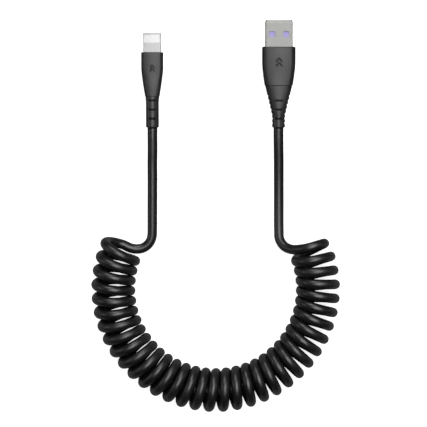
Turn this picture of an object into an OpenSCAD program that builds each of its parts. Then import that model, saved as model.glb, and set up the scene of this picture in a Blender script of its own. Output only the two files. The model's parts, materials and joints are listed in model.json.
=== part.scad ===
// Coiled charging cable lying flat: a charger plug and a phone plug, each on a straight lead,
// joined by a spring coil that is bent into an open ring.
// Millimetres, +Z up. The origin is on the surface, midway between the two plugs.
// Both plugs point along +Y. In a plug's own frame y = 0 is the front face of its housing,
// +Y leads out to the tip and z = 0 is the middle of its thickness.

/* [Cord] */
// Outer diameter of the cord
cord_d = 4.4; // [3.6:0.1:4.8]
// Outer diameter of the spring coil
coil_d = 20.4; // [18:0.2:23]
// Radius of the ring that the coil's centre line follows
ring_r = 47.1; // [44:0.1:52]
// Direction of the ring's end next to the phone plug, in degrees from +X
ring_from = 154; // [145:1:160]
// Direction of the ring's end next to the charger plug, in degrees from +X
ring_to = 387; // [380:1:392]
// Diameter of one insulated conductor
wire_d = 0.8; // [0.5:0.05:0.9]

/* [Layout] */
// Distance between the axes of the two plugs
plug_gap = 58; // [56:0.1:62]
// Distance from the origin back to the rear end of both strain reliefs
relief_end = 24.6; // [22:0.1:27]

/* [Charger plug] */
// Width of the steel shell
charger_shell_w = 12; // [11.9:0.05:12.1]
// Thickness over the steel shell
charger_shell_h = 4.5; // [4.4:0.05:4.6]
// Length of shell that stands out of the housing
charger_shell_out = 12; // [11.8:0.1:13]
// Width of the housing at its front
charger_w = 15.3; // [15:0.1:17]
// Thickness of the housing
charger_h = 7.6; // [7.2:0.1:9]
// Length of the housing, front face to seam
charger_len = 17.8; // [17:0.1:20]
// Length of the strain relief behind the seam
charger_relief_len = 19.2; // [18:0.1:24]

/* [Phone plug] */
// Width of the metal tip
phone_shell_w = 8.3; // [8.2:0.05:8.4]
// Thickness over the metal tip
phone_shell_h = 2.4; // [2.35:0.05:2.5]
// Length of tip that stands out of the housing
phone_shell_out = 8.8; // [6.5:0.1:9.5]
// Width of the housing at its front
phone_w = 10.1; // [9.8:0.1:12]
// Thickness of the housing
phone_h = 6.2; // [6:0.1:7]
// Length of the housing, front face to the step
phone_len = 20.2; // [19:0.1:22]
// Length of the strain relief behind the step
phone_relief_len = 14.3; // [13:0.1:20]

/* [Hidden] */
$fn = 48;
hull_fn = 32;         // facets on the rounded slices of a hull
cut = 0.01;           // overshoot of a cutting shape past the face it opens

// places of the plugs
charger_x = 27.8;
phone_x = charger_x - plug_gap;
charger_y = charger_len + charger_relief_len - relief_end;
phone_y = phone_len + phone_relief_len - relief_end;
charger_z = charger_h / 2;
phone_z = phone_h / 2;

// the cord's route behind each plug, as steps in x from the plug's axis, y and height: first on the
// surface, then round to the coil
charger_steps = [
    [0, -29, 3.7], [0, -35, 3.3], [0.1, -41, 2.8], [0.1, -49, 2.3], [0.1, -58, 2.3],
    [0.1, -66, 2.8], [0.2, -72, 3.6], [0.7, -76, 4.6], [2.4, -78.8, 6], [5.4, -80.3, 8.6],
    [10, -79.9, 12.8]
];
phone_steps = [
    [0, -29, 3.1], [0, -35, 2.8], [0, -41, 2.4], [0, -49, 2.2], [0, -58, 2.2], [0, -66, 2.2],
    [0, -72, 2.2], [-0.2, -75, 2.2], [-1.3, -78, 2.2], [-3.5, -80.2, 2.2], [-7, -81, 2.2],
    [-10.5, -80.5, 2.2]
];
ring_x = (charger_x + phone_x) / 2;
ring_y = -98.7;       // centre of the coil's ring
tube_sides = 10;      // facets round a lead

// sheet steel and moulded walls
shell_t = 0.3;
phone_shell_t = 0.25;
can_t = 0.25;
shell_r = 0.7;
shell_inner_r = 0.4;
can_r = 0.8;
can_inner_r = 0.6;
mould_r = 2;
front_wall = 1;       // housing wall in front of the inner mould
bore_lead = 1;        // a bore for the cord starts this far ahead of the face it opens

// charger plug: tongue, contacts and the depth of each piece behind the front face
shell_in = 5.5;
window_w = 2.6;
window_l = 2.5;
window_x = 3.2;
window_y = 6.3;       // from the shell's mouth to a window's centre
tongue_t = 1.95;
contact_w = 1;
contact_t = 0.25;
contact_proud = 0.1;
pin_x = [-3.5, -1, 1, 3.5];
pin_reach = [11.2, 10.2, 10.2, 11.2];
charger_tail = 8;     // rear end of the contacts
charger_can_front = 5.6;
charger_can_rear = 12;
charger_can_w = 11.8;
charger_can_h = 5;
crimp_len = 3.4;
crimp_t = 0.35;
charger_mould_w = 13.1;
charger_mould_h = 6.1;
charger_mould_rear = 17;
charger_mould_step = 12.5;    // behind this the mould narrows towards the cord
charger_mould_neck = 0.75;    // its width there, as a share of the front's
charger_tail_lap = 0.6;       // length of conductor that lies on its contact

// phone plug
phone_shell_in = 4;
cavity_w = 6.7;
cavity_h = 0.8;
strip_w = 0.3;
strip_t = 0.16;
strip_pitch = 0.5;
strip_set = 0.1;      // part of a strip's thickness that stands in the cavity
strip_setback = 1.2;  // from the mouth to the strips' front ends
spring_t = 0.3;
spring_setback = 1.6;
upper_pins = [1, 4, 5, 6, 7, 9, 12];
lower_pins = [1, 4, 9, 12];
pin_count = 12;
board_w = 6.6;
board_t = 0.6;
board_rear = 9.5;
resistor_size = [1, 0.5, 0.35];
resistor_x = 1.9;
resistor_y = -6.9;
phone_tail = 5.4;
phone_can_rear = 10.5;
phone_can_w = 8;
phone_can_h = 3.8;
phone_cord_end = 11.6;
phone_pad_y = 8.3;
phone_pad_x = [-2.1, -0.7, 0.7, 2.1];
phone_mould_w = 8.6;
phone_mould_h = 4.9;
phone_mould_rear = 16;
phone_mould_neck = [0.68, 1.06];  // width and thickness behind the can, as shares of the front's

// outlines, as shares of a piece's length back from its front, and of its front width and thickness
charger_outline = [
    [0, 1, 1], [0.28, 1, 1], [0.54, 0.984, 1], [0.65, 0.962, 1], [0.78, 0.92, 1], [0.9, 0.875, 1],
    [1, 0.837, 0.97]
];
charger_relief_outline = [[0, 0.81, 0.97], [0.48, 0.515, 0.85]];
charger_neck_share = 0.72;    // where the relief's cone meets its round sleeve
phone_outline = [
    [0, 1, 1], [0.28, 1, 1], [0.46, 0.972, 1], [0.62, 0.892, 0.99], [0.77, 0.804, 0.98],
    [0.9, 0.72, 0.97], [1, 0.653, 0.96]
];
charger_corner_r = 3;
phone_corner_r = 2.6;
mark_depth = 0.2;             // recess of the two chevrons on a housing
mark_pitch_share = 0.75;      // their pitch, as a share of their width
charger_mark = [2.6, 0.5, -5.6];  // width, line and place of the first one
phone_mark = [1.9, 0.42, -6.2];

// strain relief
relief_d = 5.9;
slot_w = 3.2;
slot_l = 0.8;
slot_depth = 0.6;
side_slot_depth = 0.25;
slot_pitch = 4.15;
slot_count = 3;
charger_first_slot = 6.8;     // from the relief's front to its first slot
phone_first_slot = 1.9;
wire_spread = 0.9;    // spacing of the conductors where they leave the cord
solder_film = 0.06;   // solder between a conductor and its contact or pad

// ---- shared shapes -------------------------------------------------------------------------

// a rectangle with round corners, exact arcs
module round_rect(w, h, r) {
    square([w - 2 * r, h], center = true);
    square([w, h - 2 * r], center = true);
    for (sx = [-1, 1], sy = [-1, 1])
        translate([sx * (w / 2 - r), sy * (h / 2 - r)]) circle(r = r);
}

// a bar of that section along Y, from y = front back to y = rear
module bar(w, h, r, front, rear) {
    translate([0, front, 0]) rotate([90, 0, 0]) linear_extrude(front - rear) round_rect(w, h, r);
}

// a plain block between two y values
module block(x, w, y_rear, y_front, z_low, z_high) {
    translate([x - w / 2, y_rear, z_low]) cube([w, y_front - y_rear, z_high - z_low]);
}

// a round rod along Y
module rod(d, front, rear) {
    translate([0, front, 0]) rotate([90, 0, 0]) cylinder(h = front - rear, d = d);
}

// a straight round wire from a to b
module wire(a, b, d) {
    v = b - a;
    length = norm(v);
    translate(a) rotate([0, acos(v.z / length), atan2(v.y, v.x)]) cylinder(h = length, d = d);
}

// slices [y, width, thickness] joined into one tapering body
module tapered_body(slices, r) {
    hull() for (s = slices)
        translate([0, s[0], 0]) rotate([90, 0, 0])
            linear_extrude(cut) round_rect(s[1], s[2], min(r, s[2] / 2 - cut), $fn = hull_fn);
}

// the slices of an outline on a piece that starts at y = front
function slices(outline, front, length, w, h) =
    [for (o = outline) [front - o[0] * (length - cut), o[1] * w, o[2] * h]];

// two recessed chevrons that point to the tip and show which way up the plug goes; each arm runs at
// 45 degrees, so its line is root two times as high along y as it is wide
module chevron_recess(top, mark) {
    half = mark[0] / 2;
    rise = mark[1] / sqrt(2);
    for (k = [0, 1])
        translate([0, mark[2] - k * mark[0] * mark_pitch_share, top - mark_depth])
            linear_extrude(2 * mark_depth)
                polygon([[-half, rise - half], [0, rise], [half, rise - half],
                         [half, -rise - half], [0, -rise], [-half, -rise - half]]);
}

// slots across the top and the underside that let a strain relief bend
module relief_slots(first, count, half_height) {
    for (i = [0 : count - 1], side = [-1, 1]) {
        y = first - i * slot_pitch;
        block(0, slot_w, y - slot_l / 2, y + slot_l / 2,
              side > 0 ? half_height(y) - slot_depth : -half_height(y) - 1,
              side > 0 ? half_height(y) + 1 : -half_height(y) + slot_depth);
    }
}

module side_slot(y, side, half_width) {
    reach = 2;
    translate([side * (half_width(y) - side_slot_depth + reach / 2), y, 0])
        cube([reach, slot_l, slot_w], center = true);
}

// ---- cord ----------------------------------------------------------------------------------

function unit(v) = v / norm(v);
function along(p, i) =
    unit(p[min(i + 1, len(p) - 1)] - p[max(i - 1, 0)]);
function ring(c, t, r, n) =
    let (side = unit(cross(t, [0, 0, 1])), up = cross(side, t))
    [for (k = [0 : n - 1]) c + r * (cos(360 * (k + 0.5) / n) * side + sin(360 * (k + 0.5) / n) * up)];

// one tube swept along the points of a route
module swept_tube(p, r, n) {
    rings = len(p);
    points = [for (i = [0 : rings - 1]) each ring(p[i], along(p, i), r, n)];
    walls = [for (i = [0 : rings - 2], k = [0 : n - 1])
        [i * n + k, i * n + (k + 1) % n, (i + 1) * n + (k + 1) % n, (i + 1) * n + k]];
    start_cap = [for (k = [n - 1 : -1 : 0]) k];
    end_cap = [for (k = [0 : n - 1]) (rings - 1) * n + k];
    polyhedron(points, concat([start_cap], walls, [end_cap]), convexity = 6);
}

// a lead: straight out of the plug from y = inner_y, then along its steps
module lead(x, z, inner_y, steps) {
    route = concat([[x, inner_y, z], [x, -relief_end, z]], [for (s = steps) [x + s.x, s.y, s.z]]);
    color("#262626") swept_tube(route, cord_d / 2, tube_sides);
}

module charger_lead() lead(charger_x, charger_z, charger_y - charger_can_rear, charger_steps);
module phone_lead() lead(phone_x, phone_z, phone_y - phone_cord_end, phone_steps);

// the outer shape of the spring coil: one fat tube bent round the ring
module coil() {
    color("#1c1c1c") translate([ring_x, ring_y, coil_d / 2]) rotate([0, 0, ring_from])
        rotate_extrude(angle = ring_to - ring_from) translate([ring_r, 0]) circle(d = coil_d);
}

// ---- charger plug --------------------------------------------------------------------------

module at_charger() translate([charger_x, charger_y, charger_z]) children();

module charger_shell_body()
    bar(charger_shell_w, charger_shell_h, shell_r, charger_shell_out, -shell_in);

module charger_shell() {
    inner_w = charger_shell_w - 2 * shell_t;
    inner_h = charger_shell_h - 2 * shell_t;
    color("#b1b1ae") at_charger() difference() {
        charger_shell_body();
        bar(inner_w, inner_h, shell_inner_r, charger_shell_out + cut, -shell_in - cut);
        for (x = [-window_x, window_x])
            block(x, window_w, charger_shell_out - window_y - window_l / 2,
                  charger_shell_out - window_y + window_l / 2, -charger_shell_h, charger_shell_h);
    }
}

// one contact: flush in the tongue's underside, standing a little proud of it
module charger_contact(i) {
    block(pin_x[i], contact_w, -charger_tail, pin_reach[i], -contact_proud, contact_t - contact_proud);
}

module charger_tongue() {
    inner_w = charger_shell_w - 2 * shell_t;
    inner_h = charger_shell_h - 2 * shell_t;
    mouth_gap = 0.4;
    block_front = -0.5;
    color("#a79bdc") at_charger() difference() {
        union() {
            intersection() {
                bar(inner_w, inner_h, shell_inner_r, charger_shell_out - mouth_gap, -shell_in);
                block(0, inner_w, -shell_in, charger_shell_out, inner_h / 2 - tongue_t, inner_h / 2);
            }
            bar(inner_w, inner_h, shell_inner_r, block_front, -shell_in);
        }
        for (i = [0 : 3]) charger_contact(i);
    }
}

module charger_power_contact() color("#d8b25a") at_charger() charger_contact(0);
module charger_data_minus_contact() color("#d8b25a") at_charger() charger_contact(1);
module charger_data_plus_contact() color("#d8b25a") at_charger() charger_contact(2);
module charger_ground_contact() color("#d8b25a") at_charger() charger_contact(3);

// conductor i, from the cord's end to its contact's tail
module charger_wire(i) {
    z = -contact_proud - solder_film - wire_d / 2;
    wire([(i - 1.5) * wire_spread, -charger_can_rear, z],
         [pin_x[i], -charger_tail + charger_tail_lap, z], wire_d);
}

module charger_red_wire() color("#b02020") at_charger() charger_wire(0);
module charger_white_wire() color("#e8e8e4") at_charger() charger_wire(1);
module charger_green_wire() color("#2f7d3a") at_charger() charger_wire(2);
module charger_black_wire() color("#202020") at_charger() charger_wire(3);

module charger_solder_joints() {
    solder_r = 0.75;
    middle = [-charger_tail + 0.5, -contact_proud - 0.35];    // y and z
    color("#c9c9c4") at_charger() difference() {
        for (x = pin_x) translate([x, middle[0], middle[1]]) sphere(r = solder_r);
        block(0, charger_w, middle[0] - 2 * solder_r, middle[0] + 2 * solder_r, -contact_proud,
              charger_h);
        for (i = [0 : 3]) charger_wire(i);
    }
}

// steel can over the soldered ends, with the barrel that is crimped on the cord
module charger_rear_can() {
    color("#9d9d9a") at_charger() difference() {
        union() {
            bar(charger_can_w, charger_can_h, can_r, -charger_can_front, -charger_can_rear);
            rod(cord_d + 2 * crimp_t, -charger_can_rear, -charger_can_rear - crimp_len);
        }
        bar(charger_can_w - 2 * can_t, charger_can_h - 2 * can_t, can_inner_r,
            -charger_can_front + cut, -charger_can_rear + can_t);
        rod(cord_d, -charger_can_rear + bore_lead, -charger_can_rear - crimp_len - cut);
    }
}

module charger_mould_body() {
    bar(charger_mould_w, charger_mould_h, mould_r, -front_wall, -charger_mould_step);
    bar(charger_mould_w * charger_mould_neck, charger_mould_h, mould_r, -charger_mould_step,
        -charger_mould_rear);
}

module charger_inner_mould() {
    color("#d9d4c4") at_charger() difference() {
        charger_mould_body();
        charger_shell_body();
        bar(charger_can_w, charger_can_h, can_r, -shell_in + cut, -charger_can_rear);
        rod(cord_d + 2 * crimp_t, -charger_can_rear + cut, -charger_can_rear - crimp_len);
        rod(cord_d, -charger_can_rear, -charger_mould_rear - cut);
    }
}

module charger_housing() {
    color("#3c3c3c") at_charger() difference() {
        tapered_body(slices(charger_outline, 0, charger_len, charger_w, charger_h), charger_corner_r);
        charger_shell_body();
        charger_mould_body();
        rod(cord_d, -charger_mould_rear + bore_lead, -charger_len - cut);
        chevron_recess(charger_h / 2, charger_mark);
    }
}

// half width and half thickness of the charger relief at a given y, for placing its slots
function cone_half(y, size, column) =
    let (wide = charger_relief_outline[0], narrow = charger_relief_outline[1],
         run = (-charger_len - y) / (charger_relief_len * narrow[0]))
    max(relief_d, size * (wide[column] + (narrow[column] - wide[column]) * min(run, 1))) / 2;

module charger_strain_relief() {
    cone = slices(charger_relief_outline, -charger_len, charger_relief_len, charger_w, charger_h);
    neck_y = -charger_len - charger_relief_len * charger_neck_share;
    round_from = neck_y + 2;
    first_slot = -charger_len - charger_first_slot;
    half_width = function (y) cone_half(y, charger_w, 1);
    half_height = function (y) y > round_from ? cone_half(y, charger_h, 2) : relief_d / 2;
    color("#3a3a3a") at_charger() difference() {
        union() {
            tapered_body(cone, charger_corner_r);
            tapered_body([cone[1], [neck_y, relief_d, relief_d]], charger_corner_r);
            rod(relief_d, neck_y + bore_lead, -charger_len - charger_relief_len);
        }
        rod(cord_d, -charger_len + cut, -charger_len - charger_relief_len - cut);
        relief_slots(first_slot, slot_count, half_height);
        for (side = [-1, 1], i = [0 : 2 * slot_count])
            side_slot(first_slot + slot_pitch / 2 * (1 - i), side, half_width);
    }
}

// ---- phone plug ----------------------------------------------------------------------------

module at_phone() translate([phone_x, phone_y, phone_z]) children();

phone_inner_w = phone_shell_w - 2 * phone_shell_t;
phone_inner_h = phone_shell_h - 2 * phone_shell_t;

module phone_shell_body() bar(phone_shell_w, phone_shell_h, phone_shell_h / 2 - cut, phone_shell_out,
                              -phone_shell_in);

module phone_shell() {
    color("#d6d6d6") at_phone() difference() {
        phone_shell_body();
        bar(phone_inner_w, phone_inner_h, phone_inner_h / 2 - cut, phone_shell_out + cut,
            -phone_shell_in - cut);
    }
}

// contact strips that lie on one side of the cavity; side is 1 above it and -1 below it
module phone_strips(pins, side) {
    low = cavity_h / 2 - strip_set;
    for (pin = pins)
        block((pin - (pin_count + 1) / 2) * strip_pitch, strip_w, -phone_tail,
              phone_shell_out - strip_setback,
              side > 0 ? low : -low - strip_t, side > 0 ? low + strip_t : -low);
}

// side springs that hold the plug in its socket, one in each end of the cavity
module phone_springs() {
    for (side = [-1, 1])
        block(side * cavity_w / 2, spring_t, -1, phone_shell_out - spring_setback, -spring_t, spring_t);
}

module phone_contact_block() {
    mouth_gap = 0.3;
    cavity_rear = 1;
    color("#2b2b2b") at_phone() difference() {
        bar(phone_inner_w, phone_inner_h, phone_inner_h / 2 - cut, phone_shell_out - mouth_gap,
            -phone_shell_in);
        bar(cavity_w, cavity_h, cavity_h / 2 - cut, phone_shell_out, cavity_rear);
        phone_strips(upper_pins, 1);
        phone_strips(lower_pins, -1);
        phone_springs();
    }
}

module phone_upper_contacts() color("#d8b25a") at_phone() phone_strips(upper_pins, 1);
module phone_lower_contacts() color("#d8b25a") at_phone() phone_strips(lower_pins, -1);
module phone_latch_springs() color("#c4c4c0") at_phone() phone_springs();

module phone_board() {
    color("#1f5b34") at_phone()
        block(0, board_w, -board_rear, -phone_shell_in, -board_t / 2, board_t / 2);
}

module phone_resistor() {
    color("#161616") at_phone()
        block(resistor_x, resistor_size.x, resistor_y, resistor_y + resistor_size.y,
              board_t / 2, board_t / 2 + resistor_size.z);
}

module phone_wire(i) {
    z = board_t / 2 + solder_film + wire_d / 2;
    wire([(i - 1.5) * wire_spread, -phone_cord_end, z], [phone_pad_x[i], -phone_pad_y, z], wire_d);
}

module phone_red_wire() color("#b02020") at_phone() phone_wire(0);
module phone_white_wire() color("#e8e8e4") at_phone() phone_wire(1);
module phone_green_wire() color("#2f7d3a") at_phone() phone_wire(2);
module phone_black_wire() color("#202020") at_phone() phone_wire(3);

module phone_solder_joints() {
    solder_r = 0.65;
    middle = [-phone_pad_y - 0.1, board_t / 2 + 0.2];    // y and z
    color("#c9c9c4") at_phone() difference() {
        for (x = phone_pad_x) translate([x, middle[0], middle[1]]) sphere(r = solder_r);
        block(0, board_w, -board_rear, -phone_shell_in, -board_t * 2, board_t / 2);
        for (i = [0 : 3]) phone_wire(i);
    }
}

module phone_rear_can() {
    color("#9d9d9a") at_phone() difference() {
        union() {
            bar(phone_can_w, phone_can_h, can_r, -phone_shell_in, -phone_can_rear);
            rod(cord_d + 2 * crimp_t, -phone_can_rear, -phone_can_rear - crimp_len);
        }
        bar(phone_can_w - 2 * can_t, phone_can_h - 2 * can_t, can_inner_r,
            -phone_shell_in + cut, -phone_can_rear + can_t);
        rod(cord_d, -phone_can_rear + bore_lead, -phone_can_rear - crimp_len - cut);
    }
}

module phone_mould_body() {
    bar(phone_mould_w, phone_mould_h, mould_r, -front_wall, -phone_can_rear);
    bar(phone_mould_w * phone_mould_neck[0], phone_mould_h * phone_mould_neck[1], mould_r,
        -phone_can_rear, -phone_mould_rear);
}

module phone_inner_mould() {
    color("#d9d4c4") at_phone() difference() {
        phone_mould_body();
        phone_shell_body();
        bar(phone_can_w, phone_can_h, can_r, -phone_shell_in + cut, -phone_can_rear);
        rod(cord_d + 2 * crimp_t, -phone_can_rear + cut, -phone_can_rear - crimp_len);
        rod(cord_d, -phone_can_rear, -phone_mould_rear - cut);
    }
}

module phone_housing() {
    color("#3a3a3a") at_phone() difference() {
        tapered_body(slices(phone_outline, 0, phone_len, phone_w, phone_h), phone_corner_r);
        phone_shell_body();
        phone_mould_body();
        rod(cord_d, -phone_mould_rear + bore_lead, -phone_len - cut);
        chevron_recess(phone_h / 2, phone_mark);
    }
}

module phone_strain_relief() {
    half_height = function (y) relief_d / 2;
    color("#383838") at_phone() difference() {
        rod(relief_d, -phone_len, -phone_len - phone_relief_len);
        rod(cord_d, -phone_len + cut, -phone_len - phone_relief_len - cut);
        relief_slots(-phone_len - phone_first_slot, slot_count, half_height);
    }
}

// ---- the whole cable -----------------------------------------------------------------------

charger_shell();
charger_tongue();
charger_power_contact();
charger_data_minus_contact();
charger_data_plus_contact();
charger_ground_contact();
charger_rear_can();
charger_red_wire();
charger_white_wire();
charger_green_wire();
charger_black_wire();
charger_solder_joints();
charger_inner_mould();
charger_housing();
charger_strain_relief();
phone_shell();
phone_contact_block();
phone_upper_contacts();
phone_lower_contacts();
phone_latch_springs();
phone_board();
phone_resistor();
phone_rear_can();
phone_red_wire();
phone_white_wire();
phone_green_wire();
phone_black_wire();
phone_solder_joints();
phone_inner_mould();
phone_housing();
phone_strain_relief();
charger_lead();
coil();
phone_lead();
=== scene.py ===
# %% [markdown]
# # A coiled charging cable
# The cable lies on a table: a charger plug and a phone plug, each on a straight lead, and between
# them a spring coil bent into an open ring. The frame that is loaded first holds the measured
# parts, in metres, with +Z up. Everything below is built straight in that frame, so no piece
# ever has to be moved into place.

# %% Load the frame
import json
import bpy
import numpy as np
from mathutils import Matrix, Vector

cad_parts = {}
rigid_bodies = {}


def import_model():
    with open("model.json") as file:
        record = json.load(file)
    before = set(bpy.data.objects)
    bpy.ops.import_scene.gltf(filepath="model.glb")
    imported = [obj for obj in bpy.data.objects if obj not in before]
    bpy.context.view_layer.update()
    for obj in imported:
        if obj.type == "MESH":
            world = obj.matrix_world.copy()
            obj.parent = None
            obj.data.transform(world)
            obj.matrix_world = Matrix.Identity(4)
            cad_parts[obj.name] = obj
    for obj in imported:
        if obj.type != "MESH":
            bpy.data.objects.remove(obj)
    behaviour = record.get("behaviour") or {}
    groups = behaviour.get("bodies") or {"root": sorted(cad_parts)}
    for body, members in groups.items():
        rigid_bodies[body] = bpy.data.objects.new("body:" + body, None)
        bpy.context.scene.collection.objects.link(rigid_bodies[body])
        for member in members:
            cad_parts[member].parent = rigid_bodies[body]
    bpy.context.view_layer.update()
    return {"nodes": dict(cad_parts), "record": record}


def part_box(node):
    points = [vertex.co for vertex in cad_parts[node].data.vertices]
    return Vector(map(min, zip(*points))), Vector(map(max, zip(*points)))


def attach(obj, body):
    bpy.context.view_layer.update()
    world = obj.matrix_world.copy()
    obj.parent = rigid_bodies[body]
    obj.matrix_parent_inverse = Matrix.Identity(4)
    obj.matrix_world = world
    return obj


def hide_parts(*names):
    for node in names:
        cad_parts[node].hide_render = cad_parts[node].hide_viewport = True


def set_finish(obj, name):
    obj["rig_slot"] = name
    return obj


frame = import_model()
MM = 0.001
print("parts in the frame:", len(frame["nodes"]))

# %% [markdown]
# ## Camera
# The cable is looked at from above, leaning a little towards the plugs' end of the table, through
# a long lens, which keeps the two straight leads parallel. The camera is placed by the point it
# looks at, how far it leans and how wide a strip of table fills the view, because those are easier
# to judge than a place and a focal length.

# %% Place the camera
look_at = Vector((-2.1, -64.2, 5.0)) * MM
lean = np.radians(5.7)          # away from straight down, towards the plugs' end
distance = 0.80                 # metres from that point
strip = 197.0 * MM              # width of table that fills the view

camera_data = bpy.data.cameras.new("camera")
camera = bpy.data.objects.new("camera", camera_data)
bpy.context.scene.collection.objects.link(camera)
camera.location = look_at + distance * Vector((0, np.sin(lean), np.cos(lean)))
camera.rotation_euler = (-lean, 0, 0)
camera_data.sensor_width = 36.0
camera_data.lens = camera_data.sensor_width * distance / strip
camera_data.clip_start = 0.01
bpy.context.scene.camera = camera
print("lens", round(camera_data.lens), "mm")

# %% [markdown]
# ## One way of putting a surface into Blender
# Every new piece is a grid of points worked out with numpy: rows run along the piece and columns
# run round it. The grid always closes round its columns. A piece that is solid gets a flat cap at
# each end, and a tube with a wall closes its rows as well, from the inside back to the outside.

# %% Grid to mesh
def grid_faces(rows, columns, ring=False):
    """Quads of a grid. Cell (i, j) joins rows i and i + 1 with columns j and j + 1; columns wrap
    round, and rows wrap round too when ring is true."""
    last = rows if ring else rows - 1
    i, j = np.meshgrid(np.arange(last), np.arange(columns), indexing="ij")
    here, right = i * columns, (j + 1) % columns
    above = ((i + 1) % rows) * columns
    return np.stack([here + j, here + right, above + right, above + j], axis=-1).reshape(-1, 4)


def make_piece(name, grid, slot, ring=False, caps=True, uv=None, drop=None):
    """A mesh object from a grid of points with shape (rows, columns, 3). drop marks the cells to
    leave out, and uv gives each point its two pattern coordinates."""
    rows, columns, _ = grid.shape
    quads = grid_faces(rows, columns, ring)
    if drop is not None:
        quads = quads[~drop.reshape(-1)]
    faces = quads.tolist()
    if caps and not ring and drop is None:
        faces.append(list(range(columns))[::-1])
        faces.append(list(range((rows - 1) * columns, rows * columns)))
    mesh = bpy.data.meshes.new(name)
    mesh.from_pydata(grid.reshape(-1, 3).tolist(), [], faces)
    mesh.polygons.foreach_set("use_smooth", np.ones(len(faces), bool))
    if uv is not None:
        loop_points = np.empty(len(mesh.loops), np.int32)
        mesh.loops.foreach_get("vertex_index", loop_points)
        layer = mesh.uv_layers.new(name="along")
        layer.data.foreach_set("uv", uv.reshape(-1, 2)[loop_points].astype(np.float32).ravel())
    mesh.update()
    piece = bpy.data.objects.new(name, mesh)
    bpy.context.scene.collection.objects.link(piece)
    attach(piece, "root")
    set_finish(piece, slot)
    print(f"{name}: {len(faces)} faces")
    return piece


print("faces in a grid of 3 rows and 4 columns:", len(grid_faces(3, 4)))

# %% [markdown]
# ## The cord
# On the real cable this is one piece of round cord, four conductors in a soft black jacket, that
# was wound on a mandrel and set with heat. It could be a curve with a bevel, but a mesh lets the
# jacket's pattern run along it, so it is a tube carried along a path. A few sizes drive the whole
# coil: how thick the cord and the coil are, where the ring lies, and how many turns it has.

# %% Sizes of the cord and its coil
cord_d = 4.5 * MM
coil_d = 20.4 * MM
wind_r = (coil_d - cord_d) / 2                   # from the coil's axis to the middle of the cord
ring_r = 47.1 * MM                               # from the middle of the ring to the coil's axis
ring_centre = np.array([-1.1, -98.7]) * MM
wind_from, wind_to = np.radians([155.3, 384.65])  # where the coil starts and ends on the ring
turns = 33.5
print("turn to turn along the ring", round(ring_r * (wind_to - wind_from) / turns / MM, 2), "mm")

# %% [markdown]
# ### The two leads
# A lead leaves its strain relief straight, sinks to the table and lies on it. No formula gives
# that, so its points are listed one by one. They are given from the plug's own axis, which is read
# from the frame, so a lead always starts in the middle of its strain relief.

# %% Routes of the leads
def along_y(name):
    """Plug axis of a CAD node: its middle in x and z, and its front and rear ends in y."""
    low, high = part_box(name)
    return (low.x + high.x) / 2, (low.z + high.z) / 2, high.y, low.y


def lead(plug, steps):
    """Route of a lead: out of the rear end of the plug's strain relief, then through steps given in
    millimetres as x from the plug's axis, y and height."""
    x, z, _, rear = along_y(plug)
    return np.vstack([[x, rear, z], np.array([x, 0, 0]) + np.array(steps) * MM])


charger_route = lead("charger_strain_relief", [
    [0, -29, 3.7], [0.1, -35, 3.3], [0.2, -41, 2.8], [0.25, -49, 2.3], [0.3, -58, 2.3],
    [0.3, -66, 2.8], [0.35, -72, 3.6], [0.6, -76, 4.6], [2.2, -78.9, 6.0], [5.4, -80.3, 8.6],
    [10, -79.9, 12.8]])
phone_route = lead("phone_strain_relief", [
    [0, -29, 3.1], [0, -35, 2.8], [-0.1, -41, 2.4], [-0.1, -49, 2.25], [-0.15, -58, 2.25],
    [-0.2, -66, 2.25], [-0.25, -72, 2.25], [-0.4, -75, 2.25], [-1.4, -78, 2.25],
    [-3.5, -80.1, 2.25], [-7, -81, 2.25], [-10.5, -80.5, 2.25]])
print("points in the leads:", len(charger_route), "and", len(phone_route))

# %% [markdown]
# ### The winding
# A spring coil bent into a ring is a helix whose axis is an arc. Each point turns round the coil's
# axis while the axis itself turns round the ring, so two angles say where it is. The last loop
# towards the charger plug hangs a little wide and low, where the lead pulls at it.

# %% Middle line of the winding
points_per_turn = 40
end_turns = 0.5             # the stretch at the charger plug's end that hangs wide and low
end_shrink = 1.6 * MM       # how much smaller it gets
end_shift = 0.9 * MM        # how far it moves outwards


def winding():
    """Middle line of the coil. The angle round the ring grows evenly; the angle round the coil's
    own axis makes a full turn for each turn of cord and starts underneath. Over the last half turn
    the loop gets smaller and moves outwards, so that the cord leaves lower than the coil's top."""
    share = np.linspace(0, 1, int(turns * points_per_turn) + 1)
    around = wind_from + (wind_to - wind_from) * share
    roll = 2 * np.pi * turns * share - np.pi / 2
    last = np.clip((share - 1) * turns / end_turns + 1, 0, 1)
    ease = last * last * (3 - 2 * last)
    radius = wind_r - end_shrink * ease
    reach = ring_r + end_shift * ease + radius * np.cos(roll)
    return np.stack([ring_centre[0] + reach * np.cos(around),
                     ring_centre[1] + reach * np.sin(around),
                     cord_d / 2 + radius * (1 + np.sin(roll))], axis=1)


route = np.vstack([charger_route, winding()[::-1], phone_route[::-1]])
print("points in the whole route:", len(route))

# %% [markdown]
# ### One smooth path
# The listed points are centimetres apart and the winding's are close together. A cubic curve
# goes through all of them and is sampled at even steps. Real cord resists a tight bend, so the
# samples are then eased a set number of times towards the bend that is wanted. They draw closer
# together as they move, so the tightest bend that is left is a little tighter than that one, and
# it is measured at the end.

# %% Smooth the path
cord_step = 1.1 * MM
wanted_bend = 7.0 * MM


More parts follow.
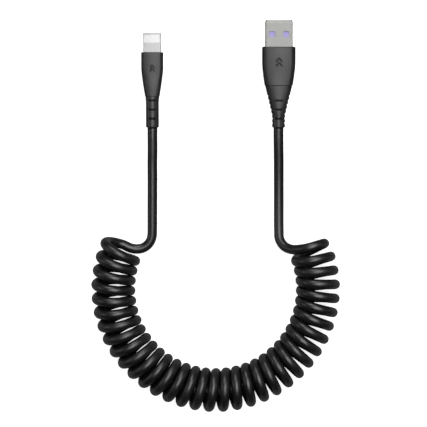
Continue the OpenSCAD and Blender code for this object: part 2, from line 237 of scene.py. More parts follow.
def smooth_path(points, step):
    """A cubic curve through the points. Its slope at each point is the mean of the two chords that
    meet there, weighted towards the shorter, and it is sampled every step of length."""
    chord = np.diff(points, axis=0)
    size = np.linalg.norm(chord, axis=1)
    start = np.concatenate([[0], np.cumsum(size)])
    chord /= size[:, None]
    slope = np.vstack([chord[:1], chord[:1].repeat(len(points) - 2, 0), chord[-1:]])
    weight = (size[1:] / (size[1:] + size[:-1]))[:, None]
    slope[1:-1] = chord[:-1] * weight + chord[1:] * (1 - weight)
    places = np.linspace(0, start[-1], int(start[-1] / step) + 1)
    k = np.clip(np.searchsorted(start, places, side="right") - 1, 0, len(size) - 1)
    t = ((places - start[k]) / size[k])[:, None]
    h = size[k][:, None]
    return ((2 * t**3 - 3 * t**2 + 1) * points[k] + (t**3 - 2 * t**2 + t) * h * slope[k]
            + (3 * t**2 - 2 * t**3) * points[k + 1] + (t**3 - t**2) * h * slope[k + 1])


def relax(path, wanted, step, rounds=1500):
    """A cord can't bend as tightly as a line can. Where three neighbouring points, if they are a
    step apart, bend more tightly than is wanted, the middle one is moved towards the point halfway
    between the other two."""
    path = path.copy()
    allowed = step * step / (2 * wanted)
    for _ in range(rounds):
        pull = (path[:-2] + path[2:]) / 2 - path[1:-1]
        size = np.linalg.norm(pull, axis=1)[:, None]
        path[1:-1] += 0.5 * pull * np.clip(1 - allowed / np.maximum(size, allowed), 0, 1)
    return path


def bend_radii(path):
    """Radius of the circle through each three neighbours: half their chord, squared, over twice the
    height of the middle one above it."""
    half_chord = np.linalg.norm(path[2:] - path[:-2], axis=1) / 2
    height = np.linalg.norm((path[2:] + path[:-2]) / 2 - path[1:-1], axis=1)
    return half_chord**2 / (2 * np.maximum(height, 1e-9))


cord_path = relax(smooth_path(route, cord_step), wanted_bend, cord_step)
cord_length = np.linalg.norm(np.diff(cord_path, axis=0), axis=1).sum()
print("cord length", round(cord_length, 4), "m, rings", len(cord_path))
print("tightest bend left", round(bend_radii(cord_path).min() / MM, 1), "mm in radius")

# %% [markdown]
# ### The tube
# A tube needs a frame at each ring that doesn't twist. Each ring's frame is the one before it,
# turned by the smallest turn that follows the path, which takes a short loop over the rings. The
# points round all rings then come from one array sum.

# %% Sweep the cord
cord_sides = 24


def sweep(path, radius, sides):
    """Tube round a path: each ring is centre + radius * (cos a * side + sin a * up), where side and
    up are carried along so that they never twist."""
    along = np.gradient(path, axis=0)
    along /= np.linalg.norm(along, axis=1)[:, None]
    side = np.empty_like(path)
    side[0] = np.cross(along[0], [0, 0, 1])
    for i in range(1, len(path)):
        flat = side[i - 1] - along[i] * np.dot(side[i - 1], along[i])
        side[i] = flat / np.linalg.norm(flat)
    side[0] /= np.linalg.norm(side[0])
    up = np.cross(side, along)
    angle = 2 * np.pi * np.arange(sides) / sides
    return (path[:, None] + radius * (np.cos(angle)[None, :, None] * side[:, None]
                                      + np.sin(angle)[None, :, None] * up[:, None]))


cord_grid = sweep(cord_path, cord_d / 2, cord_sides)
travelled = np.linspace(0, cord_length, len(cord_path))
cord_uv = np.stack(np.broadcast_arrays(np.arange(cord_sides)[None, :] / cord_sides,
                                       travelled[:, None]), axis=-1)
cord = make_piece("cord", cord_grid, "cord_jacket", uv=cord_uv)
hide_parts("charger_lead", "coil", "phone_lead")

# %% [markdown]
# ## Moulded bodies
# A housing on a moulded cable is one shot of plastic round the plug's inner parts. Its section is
# a rectangle with very round sides, and it narrows smoothly towards the cord. Subdividing a box
# would do, but the length and the width are known at every point, so the body is a section
# carried along the plug's axis, with a formula for each of its sizes.

# %% Section of a body
body_columns = 240
body_angle = 2 * np.pi * np.arange(body_columns) / body_columns


def round_section(angle, half_w, half_h, radius):
    """A rectangle with round corners, as x and z for each angle: a corner circle is swept while its
    centre slides along the inner rectangle. The slide is the cosine and sine, stretched and held
    within -1 and 1, so the flats and the corners flow into each other. A stretch of 2 holds the
    centre in each corner for 30 degrees."""
    stretch = 2.0
    c, s = np.cos(angle), np.sin(angle)
    x = (half_w - radius) * np.clip(stretch * c, -1, 1) + radius * c
    z = (half_h - radius) * np.clip(stretch * s, -1, 1) + radius * s
    return x, z


def body_grid(centre_x, centre_z, y, half_w, half_h, radius, inset=0.0):
    """Rows of sections at places y. inset pulls a row in on all sides, which rounds an end; the
    corners lose half of it, and they always stay just smaller than the section itself."""
    y, half_w, half_h = (np.broadcast_to(v, np.shape(y)).astype(float) for v in (y, half_w, half_h))
    w = (half_w - inset)[:, None]
    h = (half_h - inset)[:, None]
    r = np.minimum(np.broadcast_to(radius, y.shape)[:, None] - np.reshape(inset, (-1, 1)) * 0.5,
                   np.minimum(w, h) * 0.995)
    x, z = round_section(body_angle[None, :], w, h, r)
    return np.stack([centre_x + x, np.broadcast_to(y[:, None], x.shape), centre_z + z], axis=-1)


print("points round a body:", body_columns)

# %% [markdown]
# ### Along a body
# Four short functions say how a body changes along the plug: where its rows go and how its ends
# are rounded, how a taper grows, how a cone or a flare dies away, and how the front of a housing
# closes on the metal. Each is worked out for all rows at once.

# %% Rows, tapers and the front face
def half_size(name):
    """Half the width and half the height of a CAD node."""
    low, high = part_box(name)
    return (high.x - low.x) / 2, (high.z - low.z) / 2


def rounded_rows(front, rear, spacing, front_round, rear_round):
    """Places along the axis, and the inset at each, for a body with a quarter round at both ends."""
    quarter = np.linspace(0, np.pi / 2, 9)
    front_y = front - front_round * (1 - np.sin(quarter))
    front_in = front_round * (1 - np.cos(quarter))
    middle = np.linspace(front - front_round, rear + rear_round,
                         int((front - rear - front_round - rear_round) / spacing))
    rear_y = rear + rear_round * (1 - np.sin(quarter))
    rear_in = rear_round * (1 - np.cos(quarter))
    y = np.concatenate([front_y[::-1], middle[1:-1], rear_y])
    inset = np.concatenate([front_in[::-1], np.zeros(len(middle) - 2), rear_in])
    return y, inset


def taper(y, front, rear, straight, power):
    """0 over the straight length behind the front, then growing to 1 at the rear, as a power of the
    way there."""
    return np.clip((front - y - straight) / (front - rear - straight), 0, 1)**power


def fade(y, front, length, power):
    """1 at the front, falling to 0 over a length, as a power of what is left of it."""
    return (1 - np.clip((front - y) / length, 0, 1))**power


def close_on_shell(grid, centre_x, centre_z, shell_w, shell_h, depth):
    """Adds rows in front of a body that run in over its front face to the metal shell and then back
    along it, so that the body has the shell's opening."""
    corner = shell_h * 0.3
    x, z = round_section(body_angle, shell_w / 2, shell_h / 2, corner)
    opening = np.stack([centre_x + x, np.full_like(x, grid[0, 0, 1]), centre_z + z], axis=-1)
    share = np.linspace(1, 0, 6)[:-1, None, None]
    face = opening + (grid[0] - opening) * (1 - share)
    inside = opening - np.array([0, depth, 0])
    return np.concatenate([inside[None], face, grid])


for name in ("charger_housing", "phone_housing"):
    print(name, "half width and height, mm:", [round(v / MM, 2) for v in half_size(name)])

# %% [markdown]
# ### Recesses
# A mark on a plug is usually a shallow recess in the mould. Here it is a plain pair of chevrons
# that points to the tip and says which side is up. It is pressed into the points themselves, as is
# each slot of a strain relief, so that it catches real light. A recess also leaves its depth in
# the piece's pattern coordinates, where a finish reads it and paints shade on the recess's floor.

# %% Recesses pressed into a body
def smooth_box(value, half, edge):
    """1 where value is within half of zero, 0 further out than half + edge, eased between."""
    t = np.clip((half + edge - np.abs(value)) / edge, 0, 1)
    return t * t * (3 - 2 * t)


def press_chevrons(grid, centre_x, y_first, width, line, depth, count=2):
    """Lowers the top face by depth inside each chevron: the points whose distance to the two arms,
    y = y0 - |x|, is within half a line. Also gives how deep each point went, from 0 to 1."""
    x = grid[..., 0] - centre_x
    pitch, edge = 0.75 * width, 0.35 * line
    recess = np.zeros_like(x)
    for k in range(count):
        y = grid[..., 1] - (y_first - k * pitch)
        arm = smooth_box((y + np.abs(x)) / np.sqrt(2), line / 2, edge)
        arm = arm * smooth_box(x, width / 2, edge)
        recess = np.maximum(recess, arm * (grid[..., 2] > grid[..., 2].mean()))
    grid[..., 2] -= depth * recess
    return recess


def press_slots(grid, centre_x, centre_z, slot_y, faces, half_span, half_length, depth):
    """Pushes points towards the axis inside each slot. faces is "flat" for the top and underside
    and "side" for the two edges; half_span is how far a slot reaches from the middle of its face.
    Only points more than about half way out from the axis count as on a face. Also gives how deep
    each point went, from 0 to 1."""
    x, z = grid[..., 0] - centre_x, grid[..., 2] - centre_z
    across, toward = (x, z) if faces == "flat" else (z, x)
    edge = 0.09 * MM
    mask = np.zeros_like(x)
    for y in slot_y:
        mask = np.maximum(mask, smooth_box(grid[..., 1] - y, half_length, edge))
    facing = np.abs(toward) > 0.55 * np.abs(toward).max(axis=1, keepdims=True)
    recess = mask * smooth_box(across, half_span, edge * 2) * facing
    grid[..., 2 if faces == "flat" else 0] -= depth * recess * np.sign(toward)
    return recess


def recess_uv(grid, recess, strength=1.0):
    """Pattern coordinates that carry the recess: its depth, from 0 to 1, and nothing else. Rows
    that were added in front of the pressed ones have none."""
    uv = np.zeros((*grid.shape[:2], 2))
    uv[len(grid) - len(recess):, :, 0] = recess * strength
    return uv


print("a recess in, half way down its edge and past it:", smooth_box(np.array([0.0, 1.5, 2.5]), 1, 1))

# %% [markdown]
# ## Charger plug
# The wide housing keeps its width over its front part and then curves in towards a fine seam. Its
# front face closes on the steel shell. Its sizes at the front come from the frame, and those at
# the seam are given, because the strain relief starts there.

# %% Charger housing
cx, cz, charger_front, charger_seam = along_y("charger_housing")
charger_half_w, charger_half_h = half_size("charger_housing")
seam_half_w, seam_half_h = 6.4 * MM, 3.7 * MM
charger_corner = 3.6 * MM

y, inset = rounded_rows(charger_front, charger_seam, spacing=0.14 * MM, front_round=0.5 * MM,
                        rear_round=0.3 * MM)
gone = taper(y, charger_front, charger_seam, straight=7 * MM, power=1.5)
grid = body_grid(cx, cz, y, charger_half_w - (charger_half_w - seam_half_w) * gone,
                 charger_half_h - (charger_half_h - seam_half_h) * gone, charger_corner, inset)
recess = press_chevrons(grid, cx, charger_front - 5.6 * MM, width=2.6 * MM, line=0.5 * MM,
                        depth=0.18 * MM)
grid = close_on_shell(grid, cx, cz, shell_w=12.1 * MM, shell_h=4.6 * MM, depth=2.5 * MM)
# the chevrons' depth goes into the pattern coordinates at half strength, where the finish paints shade
charger_housing = make_piece("charger_housing_shell", grid, "housing_tpe",
                             uv=recess_uv(grid, recess, 0.5))
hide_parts("charger_housing")

# %% [markdown]
# ### Charger strain relief
# Behind the seam the softer strain relief carries on the same outline as a cone, down to a round
# sleeve on the cord. It is slotted across its top and underside and more finely down its sides, so
# that it bends instead of the cord's copper.

# %% Charger strain relief
relief_r = 2.95 * MM
cone_half_w, cone_half_h, cone_len = 6.2 * MM, 3.65 * MM, 14 * MM
cone_corner = 0.6 * MM                  # how much larger the corners are where the cone starts
relief_rear = along_y("charger_strain_relief")[3]
slot_pitch = 4.15 * MM
flat_slots = relief_rear + 12.45 * MM - slot_pitch * np.arange(3)
side_slots = relief_rear + 14.5 * MM - slot_pitch / 2 * np.arange(7)
flat_half_span, flat_half_length = 1.6 * MM, 0.36 * MM

y, inset = rounded_rows(charger_seam, relief_rear, spacing=0.09 * MM, front_round=0.3 * MM,
                        rear_round=0.55 * MM)
fall = fade(y, charger_seam, cone_len, power=1.05)
grid = body_grid(cx, cz, y, relief_r + (cone_half_w - relief_r) * fall,
                 relief_r + (cone_half_h - relief_r) * fall, relief_r + cone_corner * fall, inset)
recess = press_slots(grid, cx, cz, flat_slots, "flat", flat_half_span, flat_half_length,
                     depth=0.65 * MM)
recess += press_slots(grid, cx, cz, side_slots, "side", half_span=1.5 * MM,
                      half_length=0.32 * MM, depth=0.25 * MM)
charger_relief = make_piece("charger_relief_sleeve", grid, "relief_tpe", uv=recess_uv(grid, recess))
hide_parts("charger_strain_relief")

# %% [markdown]
# ## Phone plug
# The slim housing is straight over its front third, curves in behind that and ends in a small
# step. It is made by the same functions as the wide one, with its own sizes.

# %% Phone housing
px, pz, phone_front, phone_step = along_y("phone_housing")
phone_half_w, phone_half_h = half_size("phone_housing")
step_half_w, step_half_h = 3.32 * MM, 3.0 * MM
phone_corner = 2.6 * MM

y, inset = rounded_rows(phone_front, phone_step, spacing=0.14 * MM, front_round=0.5 * MM,
                        rear_round=0.2 * MM)
gone = taper(y, phone_front, phone_step, straight=7.5 * MM, power=1.25)
grid = body_grid(px, pz, y, phone_half_w - (phone_half_w - step_half_w) * gone,
                 phone_half_h - (phone_half_h - step_half_h) * gone, phone_corner, inset)
recess = press_chevrons(grid, px, phone_front - 6.2 * MM, width=1.9 * MM, line=0.42 * MM,
                        depth=0.16 * MM)
grid = close_on_shell(grid, px, pz, shell_w=8.4 * MM, shell_h=2.5 * MM, depth=2.0 * MM)
# the chevrons' depth goes into the pattern coordinates at 0.4 strength, where the finish paints shade
phone_housing = make_piece("phone_housing_shell", grid, "housing_tpe",
                           uv=recess_uv(grid, recess, 0.4))
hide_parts("phone_housing")

# %% [markdown]
# ### Phone strain relief
# This sleeve is straight and round, with a slight flare where it meets the housing. Its slots lie
# level with those of the other plug and only on its top and underside, so its edges stay smooth.

# %% Phone strain relief
y, inset = rounded_rows(phone_step, relief_rear, spacing=0.09 * MM, front_round=0.1 * MM,
                        rear_round=0.55 * MM)
flare = 0.25 * MM * fade(y, phone_step, 3 * MM, power=2)
grid = body_grid(px, pz, y, relief_r + flare, relief_r, relief_r, inset)
recess = press_slots(grid, px, pz, flat_slots, "flat", flat_half_span, flat_half_length,
                     depth=0.6 * MM)
phone_relief = make_piece("phone_relief_sleeve", grid, "relief_tpe", uv=recess_uv(grid, recess))
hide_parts("phone_strain_relief")

# %% [markdown]
# ## Metal shells
# The charger plug's shell is steel sheet folded into a box, with two windows in each face and a
# lead-in at the mouth. A boolean could cut the windows, but it leaves ragged faces. Here the outer
# skin has rows and columns placed on the windows' edges, so that they can be left out cleanly.
# First comes its outline, seen along the plug.

# %% Outline of the charger shell
def box_outline(half_w, half_h, corner, stops, spacing):
    """Points round a rectangle with round corners, anticlockwise seen from the rear, with a point
    at each of the stops on both long faces. One half is worked out, and the other is its opposite.
    Places are rounded to a ten-thousandth of a millimetre, so that equal ones become one."""
    flat = half_w - corner
    row = np.concatenate([np.arange(-flat, flat, spacing), [flat], stops, -stops])
    xs = np.unique(np.round(row, 7))
    zs = np.linspace(-(half_h - corner), half_h - corner, 8)
    a = np.linspace(0, np.pi / 2, 7)[1:-1]
    right_low = np.stack([flat + corner * np.sin(a), -(half_h - corner) - corner * np.cos(a)], 1)
    right_top = np.stack([flat + corner * np.cos(a), half_h - corner + corner * np.sin(a)], 1)
    bottom = np.stack([xs, np.full_like(xs, -half_h)], 1)
    right = np.stack([np.full_like(zs, half_w), zs], 1)
    half = np.concatenate([bottom, right_low, right, right_top])
    return np.concatenate([half, -half])


sx, sz, shell_mouth, shell_rear = along_y("charger_shell")
shell_half_w, shell_half_h = half_size("charger_shell")
window_x, window_w, window_l, window_y = np.array([3.2, 2.6, 2.5, 6.3]) * MM
window_sides = np.array([window_x - window_w / 2, window_x + window_w / 2])
shell_corner, shell_spacing = 0.4 * MM, 0.5 * MM
outline = box_outline(shell_half_w, shell_half_h, shell_corner, window_sides, shell_spacing)
print("points round the shell:", len(outline))

# %% [markdown]
# ### Charger shell
# The outline is carried from the rear to the mouth and drawn in over the last stretch for the
# lead-in, a little more across than up and down. A cell of the grid is left out where its middle
# lies inside a window. Solidify then gives the sheet its thickness inwards, and Bevel softens the
# cut edges, which is what makes a folded sheet catch light along its rims.

# %% Charger shell
lead_in_len, lead_in_depth = 1.3 * MM, 0.4 * MM
window_ends = shell_mouth - window_y + window_l / 2 * np.array([-1, 1])
y = np.concatenate([np.arange(shell_rear, shell_mouth, shell_spacing), window_ends,
                    shell_mouth - lead_in_len * np.linspace(0, 1, 8)**1.5])
y = np.unique(np.round(y, 7))
lead_in = lead_in_depth * np.clip((y - shell_mouth + lead_in_len) / lead_in_len, 0, 1)**2
grid = np.stack([sx + outline[None, :, 0] * (1 - lead_in / shell_half_w)[:, None],
                 np.broadcast_to(y[:, None], (len(y), len(outline))),
                 sz + outline[None, :, 1] * (1 - 0.7 * lead_in / shell_half_h)[:, None]], axis=-1)
cell_x = (grid[:-1, :, 0] + np.roll(grid[:-1, :, 0], -1, axis=1)) / 2 - sx
cell_y = (grid[:-1, :, 1] + grid[1:, :, 1]) / 2
flat_face = np.abs(grid[:-1, :, 2] - sz) > shell_half_h * 0.9
windows = (np.abs(np.abs(cell_x) - window_x) < window_w / 2) & flat_face
windows &= np.abs(cell_y - shell_mouth + window_y) < window_l / 2
charger_shell = make_piece("charger_plug_shell", grid, "shell_steel", drop=windows)
wall = charger_shell.modifiers.new("sheet", "SOLIDIFY")
wall.thickness = 0.3 * MM
wall.offset = -1
wall.use_even_offset = True
soft = charger_shell.modifiers.new("soft_edges", "BEVEL")
soft.width = 0.06 * MM
soft.segments = 2
soft.limit_method = "ANGLE"
soft.angle_limit = np.radians(50)
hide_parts("charger_shell")

# %% [markdown]
# ### Phone tip
# This tip is drawn steel with no seam. A flat lid on a tube would show a sharp edge at the mouth,
# so the skin turns over a round lip and runs back inside, and its rows close into a ring. The
# front half of both faces is pressed flat by a few hundredths of a millimetre.

# %% Phone tip
tx, tz, tip_mouth, tip_rear = along_y("phone_shell")
tip_half_w, tip_half_h = half_size("phone_shell")
tip_wall = 0.25 * MM
panel_half_w, panel_half_l, panel_edge, panel_depth = np.array([3.45, 1.75, 0.15, 0.06]) * MM
panel_y = tip_mouth - 2.5 * MM

lip = np.linspace(0, np.pi, 9)[1:-1]
outer_y = np.linspace(tip_rear, tip_mouth - tip_wall / 2, 90)
inner_y = outer_y[::-1][::6]
y = np.concatenate([outer_y, tip_mouth - tip_wall / 2 + tip_wall / 2 * np.sin(lip), inner_y])
inset = np.concatenate([np.zeros(len(outer_y)), tip_wall / 2 * (1 - np.cos(lip)),
                        np.full(len(inner_y), tip_wall)])
grid = body_grid(tx, tz, y, tip_half_w, tip_half_h, tip_half_h, inset)
panel = smooth_box(grid[..., 0] - tx, panel_half_w, panel_edge)
panel = panel * smooth_box(grid[..., 1] - panel_y, panel_half_l, panel_edge)
panel = panel * (np.arange(len(y)) < len(outer_y))[:, None]
grid[..., 2] -= panel_depth * panel * np.sign(grid[..., 2] - tz)
# the pressed panel goes into the pattern coordinates, where the finish paints a highlight on it
phone_tip = make_piece("phone_plug_tip", grid[::-1], "tip_steel", ring=True,
                       uv=recess_uv(grid, panel)[::-1])
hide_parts("phone_shell")

# %% [markdown]
# ## Finishes
# Each finish starts from what the real one is. One function turns a sheet colour into linear
# light, and one adds a node with its settings and links. Two more hold what several finishes
# share: colour and gloss that drift together, and a colour that changes inside a recess, which
# paints shade into the plastics' recesses and a highlight onto the tip's pressed panel.

# %% Colour and node helpers
def linear(hex_colour):
    """sRGB hex to linear RGBA: c / 12.92 up to 0.04045, and ((c + 0.055) / 1.055) ** 2.4 above."""
    c = np.array([int(hex_colour[i:i + 2], 16) for i in (1, 3, 5)]) / 255
    return (*np.where(c <= 0.04045, c / 12.92, ((c + 0.055) / 1.055)**2.4).tolist(), 1.0)


def plug_in(tree, node, sockets):
    """Gives inputs of a node, by name or number, another node's output to follow or a value."""
    for name, value in sockets.items():
        if isinstance(value, bpy.types.NodeSocket):
            tree.links.new(value, node.inputs[name])
        else:
            node.inputs[name].default_value = value


def add(tree, kind, sockets, **settings):
    """Adds a shader node. settings are its own properties, and sockets its inputs."""
    node = tree.nodes.new("ShaderNode" + kind)
    for name, value in settings.items():
        setattr(node, name, value)
    plug_in(tree, node, sockets)
    return node


def start(name):
    """A new material with its node tree, the Principled shader and Object coordinates in it."""
    material = bpy.data.materials.new(name)
    material.use_nodes = True
    tree = material.node_tree
    return material, tree, tree.nodes["Principled BSDF"], add(tree, "TexCoord", {}).outputs["Object"]


def drift(tree, noise, hex_dark, hex_light, roughness, spread):
    """Colour and roughness that follow one noise: dark and smooth where it is 0.3 or less, pale and
    rough from 0.7, since a noise seldom goes past those."""
    tint = add(tree, "ValToRGB", {"Fac": noise})
    for end, place, colour in zip(tint.color_ramp.elements, (0.3, 0.7), (hex_dark, hex_light)):
        end.position, end.color = place, linear(colour)
    rough = add(tree, "MapRange", {"Value": noise, "From Min": 0.3, "From Max": 0.7,
                                   "To Min": roughness - spread, "To Max": roughness + spread})
    return tint.outputs["Color"], rough.outputs["Result"]


def paint_in_recess(tree, colour, factor):
    """A colour that is multiplied by factor on the floor of a recess, and the recess's own
    coordinate, from 0 outside to 1 on its floor. A factor below 1 paints shade into the recess,
    and one above 1 paints a highlight on it."""
    deep = add(tree, "SeparateXYZ", {"Vector": add(tree, "UVMap", {}, uv_map="along").outputs["UV"]})
    gain = add(tree, "MapRange", {"Value": deep.outputs["X"], "To Min": 1.0, "To Max": factor})
    shade = add(tree, "VectorMath", {0: colour, 3: gain.outputs["Result"]}, operation="SCALE")
    return shade.outputs["Vector"], deep.outputs["X"]


print("mid grey in linear light:", round(linear("#808080")[0], 3))

# %% [markdown]
# ### Moulded plastics
# Moulded plastic is never one colour. The mould's spark-eroded texture scatters light in a grain
# of about a tenth of a millimetre, and handling leaves broad patches that are a little smoother.
# Both are noise: a fine one for bump and a broad one for roughness and colour. The grain is drawn
# at about a third of a millimetre, coarser than life, so that it shows at all. After a plastic's
# two colours come its roughness, the size of its grain and the grain's depth in millimetres.

# %% Moulded plastic
def moulded_plastic(name, hex_dark, hex_light, roughness, grain_mm, bump_mm, patch_mm=7.0, ior=1.5,
                    recessed=False):
    """Principled plastic: colour and roughness drift with a broad noise, bump follows a fine one.
    On a recessed piece the colour on a recess's floor is darkened, which is painted shade, and the
    floor hardly shines, as a cut in a mould leaves it."""
    material, tree, shader, place = start(name)
    patch = add(tree, "TexNoise", {"Vector": place, "Scale": 1 / (patch_mm * MM), "Detail": 3.0})
    grain = add(tree, "TexNoise", {"Vector": place, "Scale": 1 / (grain_mm * MM), "Detail": 2.0})
    colour, rough = drift(tree, patch.outputs["Fac"], hex_dark, hex_light, roughness, 0.06)
    # on a recessed piece, painted shade: the colour falls to a quarter on each recess's floor
    if recessed:
        colour, deep = paint_in_recess(tree, colour, 0.25)
        gloss = add(tree, "MapRange", {"Value": deep, "To Min": 0.5, "To Max": 0.12})
        plug_in(tree, shader, {"Specular IOR Level": gloss.outputs["Result"]})
    bump = add(tree, "Bump", {"Height": grain.outputs["Fac"], "Strength": 1.0,
                              "Distance": bump_mm * MM})
    plug_in(tree, shader, {"Base Color": colour, "Roughness": rough,
                           "Normal": bump.outputs["Normal"], "IOR": ior})
    return material


# thermoplastic elastomer of the housings: a satin black with a soft broad highlight
housing_plastic = moulded_plastic("black_housing_plastic", "#2a2a2a", "#343434", 0.4, 0.3, 0.006,
                                  recessed=True)
# softer elastomer of the strain reliefs: a touch paler and smoother than the housings
relief_rubber = moulded_plastic("relief_elastomer", "#2e2e2e", "#383838", 0.35, 0.3, 0.008,
                                ior=1.48, recessed=True)
# lilac thermoplastic of the tongue: glossy, slightly milky
lilac_plastic = moulded_plastic("lilac_tongue_plastic", "#8a7ccf", "#ab9fe4", 0.3, 0.4, 0.002,
                                patch_mm=3.0, ior=1.53)
print("outer plastics:", housing_plastic.name, relief_rubber.name, lilac_plastic.name)

# %% [markdown]
# ### Plastics inside the plugs
# The same function serves the parts that only show when a plug is opened or looked into: a black
# insulator for the contacts, the cloudy plastic that is moulded first round the joints, a green
# board with its small resistor, and the four insulated conductors.

# %% Inner plastics
insulator = moulded_plastic("black_insulator", "#1b1b1c", "#262627", 0.35, 0.3, 0.003)
pre_mould = moulded_plastic("natural_polyethylene", "#d2ccb8", "#e2dece", 0.45, 0.5, 0.01)
chip_ceramic = moulded_plastic("resistor_ceramic", "#101010", "#1d1d1d", 0.4, 0.2, 0.003, 1.0)
board_laminate = moulded_plastic("board_laminate", "#1a4f2d", "#246439", 0.38, 0.25, 0.004, 1.5)
insulation = {}
for colour, dark, light in (("red", "#a31818", "#bd2626"), ("white", "#dcdcd6", "#eeeeea"),
                            ("green", "#276f33", "#368a43"), ("black", "#161616", "#262626")):
    insulation[colour] = moulded_plastic(f"{colour}_insulation", dark, light, 0.32, 0.4, 0.003, 2.0)
print("insulated conductors:", ", ".join(insulation))

# %% [markdown]
# ### Cord jacket
# The jacket is extruded, so its faint texture is drawn out along the cord: die lines that run
# lengthwise, and a slow change of gloss from stretch to stretch. The lines follow the cord's own
# coordinates, which count once round and, in metres, along.

# %% Cord jacket
def extruded_jacket(lines_round=24, line_length=1 / 180, patch_mm=12):
    """Principled elastomer. The die lines are noise on the cord's coordinates, so many times round
    and stretched to a length in metres; colour and gloss drift with a noise of a centimetre or so."""
    material, tree, shader, place = start("extruded_jacket")
    along = add(tree, "UVMap", {}, uv_map="along")
    lines = add(tree, "Mapping", {"Vector": along.outputs["UV"],
                                  "Scale": (lines_round, 1 / line_length, 1)})
    die = add(tree, "TexNoise", {"Vector": lines.outputs["Vector"], "Scale": 1.0, "Detail": 2.0})
    patch = add(tree, "TexNoise", {"Vector": place, "Scale": 1 / (patch_mm * MM), "Detail": 4.0})
    colour, rough = drift(tree, patch.outputs["Fac"], "#101010", "#161616", 0.38, 0.05)
    bump = add(tree, "Bump", {"Height": die.outputs["Fac"], "Strength": 1.0, "Distance": 0.006 * MM})
    plug_in(tree, shader, {"Base Color": colour, "Roughness": rough, "IOR": 1.54,
                           "Normal": bump.outputs["Normal"], "Specular IOR Level": 0.7})
    return material


# extruded elastomer, satin: near black, with a clear soft highlight along each turn
jacket = extruded_jacket()
print("jacket:", len(jacket.node_tree.nodes), "nodes")

# %% [markdown]
# ### Metals
# Rolled, plated sheet shows fine lines in the rolling direction, and drawn steel shows almost
# none. The lines are noise squeezed across the plug and stretched along it, some tenths of a
# millimetre wide, coarser than life, so that they show. After a metal's two colours come its
# roughness, the lines' width in millimetres, how many times longer they are, and their depth.

# %% Metal finishes
def rolled_metal(name, hex_dark, hex_light, roughness, line_mm, stretch, bump_mm, panel_highlight=None):
    """Principled metal: colour, roughness and bump follow lines line_mm wide, stretch times longer
    along the plug than across it. Where a piece carries a recess, the last argument multiplies the
    colour there, which paints a highlight on a pressed panel."""
    material, tree, shader, place = start(name)
    lines = add(tree, "Mapping", {"Vector": place, "Scale": (1, 1 / stretch, 1)})
    grain = add(tree, "TexNoise", {"Vector": lines.outputs["Vector"], "Scale": 1 / (line_mm * MM),
                                   "Detail": 4.0})
    colour, rough = drift(tree, grain.outputs["Fac"], hex_dark, hex_light, roughness, 0.05)
    # painted highlight: the colour is raised on a pressed panel
    if panel_highlight:
        colour, _ = paint_in_recess(tree, colour, panel_highlight)
    bump = add(tree, "Bump", {"Height": grain.outputs["Fac"], "Distance": bump_mm * MM})
    plug_in(tree, shader, {"Base Color": colour, "Roughness": rough,
                           "Normal": bump.outputs["Normal"], "Metallic": 1.0})
    return material


# nickel-plated sheet steel, satin: a mid grey with fine lines and no sharp reflection
nickel_steel = rolled_metal("nickel_plated_steel", "#90908e", "#999997", 0.56, 0.25, 12, 0.002)
# drawn steel of the tip, satin: pale, and painted almost white where its front was pressed flat, a
# painted highlight
drawn_steel = rolled_metal("satin_drawn_steel", "#bababa", "#c4c4c4", 0.62, 0.3, 6, 0.001, 1.32)
# tin plate of the inner cans: dull grey
tin_plate = rolled_metal("tin_plate", "#8f8f8c", "#a3a3a0", 0.4, 0.4, 4, 0.004)
# rolled spring steel: smooth and bright
spring_steel = rolled_metal("spring_steel", "#b8b8b4", "#cbcbc8", 0.25, 0.1, 8, 0.001)
# thin gold over nickel on the contacts: warm and glossy
gold_flash = rolled_metal("gold_flash", "#c99a3c", "#e0b75c", 0.22, 0.1, 10, 0.001)
# solder that set in the open: bright, and a little uneven
solder = rolled_metal("solder", "#bdbdb8", "#d0d0cc", 0.28, 0.3, 1, 0.006)
print("outer metals:", nickel_steel.name, drawn_steel.name)

# %% [markdown]
# ### Which piece wears which finish
# Each part of the frame names a material slot in its record, so one table from slot to finish
# dresses every part, and the new pieces use the same slots as the parts that they replace.

# %% Give each piece its finish
finish_of_slot = {
    "shell_steel": nickel_steel, "tip_steel": drawn_steel, "tongue_plastic": lilac_plastic,
    "contact_gold": gold_flash, "can_steel": tin_plate, "housing_tpe": housing_plastic,
    "relief_tpe": relief_rubber, "cord_jacket": jacket, "inner_mould_plastic": pre_mould,
    "block_plastic": insulator, "spring_steel": spring_steel, "board_laminate": board_laminate,
    "resistor_ceramic": chip_ceramic, "solder_tin": solder, "wire_red": insulation["red"],
    "wire_white": insulation["white"], "wire_green": insulation["green"],
    "wire_black": insulation["black"]}
slot_of_node = {part["node"]: part["material_slot"] for part in frame["record"]["subparts"]}
for name, node in frame["nodes"].items():
    node.data.materials.clear()
    node.data.materials.append(finish_of_slot[slot_of_node[name]])
for piece in (cord, charger_housing, charger_relief, phone_housing, phone_relief, charger_shell,
              phone_tip):
    piece.data.materials.append(finish_of_slot[piece["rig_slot"]])
print("finishes:", len(finish_of_slot))

# %% [markdown]
# ## Floor
# The cable lies on a plain pale floor. Black plastic shows its form only through what it reflects,
# and a pale floor all round would wash out its edges. So a light path node lets the camera see the
# floor pale and glowing, while everything else sees a duller one: nearly black by the plugs, whose
# edges are dark, and mid grey under the coil, whose turns have softer rims.

# %% Floor
floor_half = 3.0
floor_drop = 0.05 * MM                  # the floor lies just under the cable, so no faces coincide
dull_from, dull_to = -0.045, -0.075     # in y: where the dark shade ends and the grey one is full
floor_mesh = bpy.data.meshes.new("floor")
floor_mesh.from_pydata([(-floor_half, -floor_half, 0), (floor_half, -floor_half, 0),
                        (floor_half, floor_half, 0), (-floor_half, floor_half, 0)], [],
                       [(0, 1, 2, 3)])
floor = bpy.data.objects.new("floor", floor_mesh)
bpy.context.scene.collection.objects.link(floor)
floor.location.z = -floor_drop

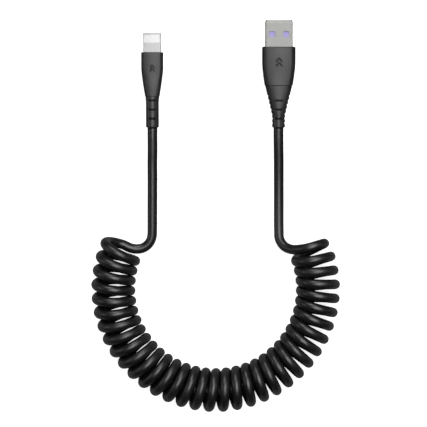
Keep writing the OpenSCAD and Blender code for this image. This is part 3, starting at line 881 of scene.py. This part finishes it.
material = bpy.data.materials.new("pale_floor")
material.use_nodes = True
tree = material.node_tree
tree.nodes.clear()
pale = add(tree, "BsdfDiffuse", {"Color": linear("#f4f4f4")})
glow = add(tree, "Emission", {"Color": (1, 1, 1, 1), "Strength": 0.8})
seen = add(tree, "AddShader", {0: pale.outputs[0], 1: glow.outputs[0]})
place = add(tree, "SeparateXYZ", {"Vector": add(tree, "TexCoord", {}).outputs["Object"]})
grade = add(tree, "MapRange", {"Value": place.outputs["Y"], "From Min": dull_from,
                               "From Max": dull_to})
shade = add(tree, "ValToRGB", {"Fac": grade.outputs["Result"]})
shade.color_ramp.elements[0].color = linear("#1c1c1c")
shade.color_ramp.elements[1].color = linear("#9a9a9a")
dull = add(tree, "BsdfDiffuse", {"Color": shade.outputs["Color"]})
ray = add(tree, "LightPath", {})
mixed = add(tree, "MixShader", {0: ray.outputs["Is Camera Ray"], 1: dull.outputs[0],
                                2: seen.outputs[0]})
add(tree, "OutputMaterial", {"Surface": mixed.outputs[0]})
floor.data.materials.append(material)
print("floor:", 2 * floor_half, "m wide")

# %% [markdown]
# ## Light
# Four soft panels light everything: a large one overhead, a little past the plugs, makes the broad
# bright band on each turn, and three weaker ones fill in from beyond the plugs and from the sides.
# Bare metal mirrors the dark surroundings at its sides, so two rim panels are added there. Light
# linking keeps them on the two metal pieces, and the black plastic keeps its dark edges.

# %% Light
def soft_panel(name, place, width, depth, watts):
    """An area light at place, in metres, that faces the middle of the cable."""
    data = bpy.data.lights.new(name, "AREA")
    data.shape = "RECTANGLE"
    data.size, data.size_y = width, depth
    data.energy = watts
    lamp = bpy.data.objects.new(name, data)
    bpy.context.scene.collection.objects.link(lamp)
    lamp.location = place
    aim = Vector((0, -0.07, 0)) - Vector(place)
    lamp.rotation_euler = aim.to_track_quat("-Z", "Y").to_euler()
    return lamp


soft_panel("overhead", (0.16, 0.28, 1.2), width=0.8, depth=1.16, watts=13.4)
soft_panel("back_panel", (-0.25, 1.1, 0.6), width=0.5, depth=0.5, watts=4.2)
soft_panel("left_panel", (-1.0, 0.1, 0.35), width=0.4, depth=0.4, watts=0.8)
soft_panel("right_panel", (1.0, 0.1, 0.3), width=0.3, depth=0.3, watts=0.2)
bright_metal = bpy.data.collections.new("bright_metal")
bright_metal.objects.link(charger_shell)
bright_metal.objects.link(phone_tip)
for name, x in (("left_rim", -1.0), ("right_rim", 1.0)):
    rim = soft_panel(name, (x, 0.02, 0.25), width=0.6, depth=0.5, watts=6)
    rim.light_linking.receiver_collection = bright_metal

world = bpy.data.worlds.new("studio")
bpy.context.scene.world = world
world.use_nodes = True
world.node_tree.nodes["Background"].inputs["Color"].default_value = linear("#ffffff")
world.node_tree.nodes["Background"].inputs["Strength"].default_value = 0.02
bpy.context.scene.view_settings.view_transform = "Standard"
print("lights:", len(bpy.data.lights))
